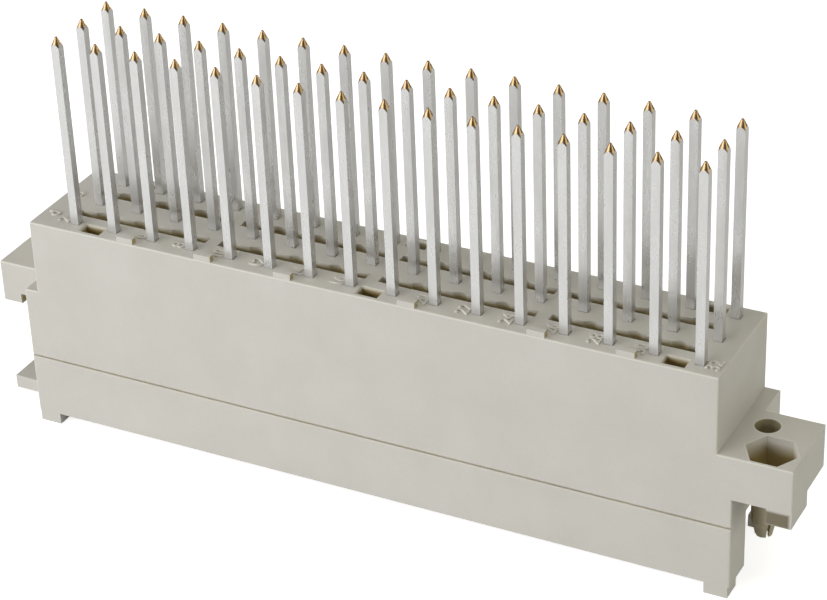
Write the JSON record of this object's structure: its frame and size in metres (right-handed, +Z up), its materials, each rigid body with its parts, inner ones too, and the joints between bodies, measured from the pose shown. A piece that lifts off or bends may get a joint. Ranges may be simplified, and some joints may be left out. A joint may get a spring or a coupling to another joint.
{
  "type": "backplane connector",
  "caption": "Long moulded female backplane connector with three rows of square pointed wire-wrap posts, diagonal screw flanges with nut pockets and split pegs, and a mating face below.",
  "frame": {"origin": "middle of the box round the part, at the underside of the feet", "axes": "+X along the rows of contacts, towards the end with the higher position numbers; +Y from the front wall to the back wall; +Z up along the posts, away from the mating face"},
  "size_m": [0.101, 0.0144, 0.0505],
  "materials": {
    "housing": "light grey-beige moulded glass-filled polyester, matt",
    "contact": "tin-plated copper alloy, silver, with gold-coloured pointed tips"
  },
  "bodies": {
    "root": {"upper_housing": "housing", "mating_moulding": "housing", "contact_d02": "contact", "contact_d04": "contact", "contact_d06": "contact", "contact_d08": "contact", "contact_d10": "contact", "contact_d12": "contact", "contact_d14": "contact", "contact_d16": "contact", "contact_d18": "contact", "contact_d20": "contact", "contact_d22": "contact", "contact_d24": "contact", "contact_d26": "contact", "contact_d28": "contact", "contact_d30": "contact", "contact_d32": "contact", "contact_b02": "contact", "contact_b04": "contact", "contact_b06": "contact", "contact_b08": "contact", "contact_b10": "contact", "contact_b12": "contact", "contact_b14": "contact", "contact_b16": "contact", "contact_b18": "contact", "contact_b20": "contact", "contact_b22": "contact", "contact_b24": "contact", "contact_b26": "contact", "contact_b28": "contact", "contact_b30": "contact", "contact_b32": "contact", "contact_z02": "contact", "contact_z04": "contact", "contact_z06": "contact", "contact_z08": "contact", "contact_z10": "contact", "contact_z12": "contact", "contact_z14": "contact", "contact_z16": "contact", "contact_z18": "contact", "contact_z20": "contact", "contact_z22": "contact", "contact_z24": "contact", "contact_z26": "contact", "contact_z28": "contact", "contact_z30": "contact", "contact_z32": "contact"}
  },
  "joints": []
}
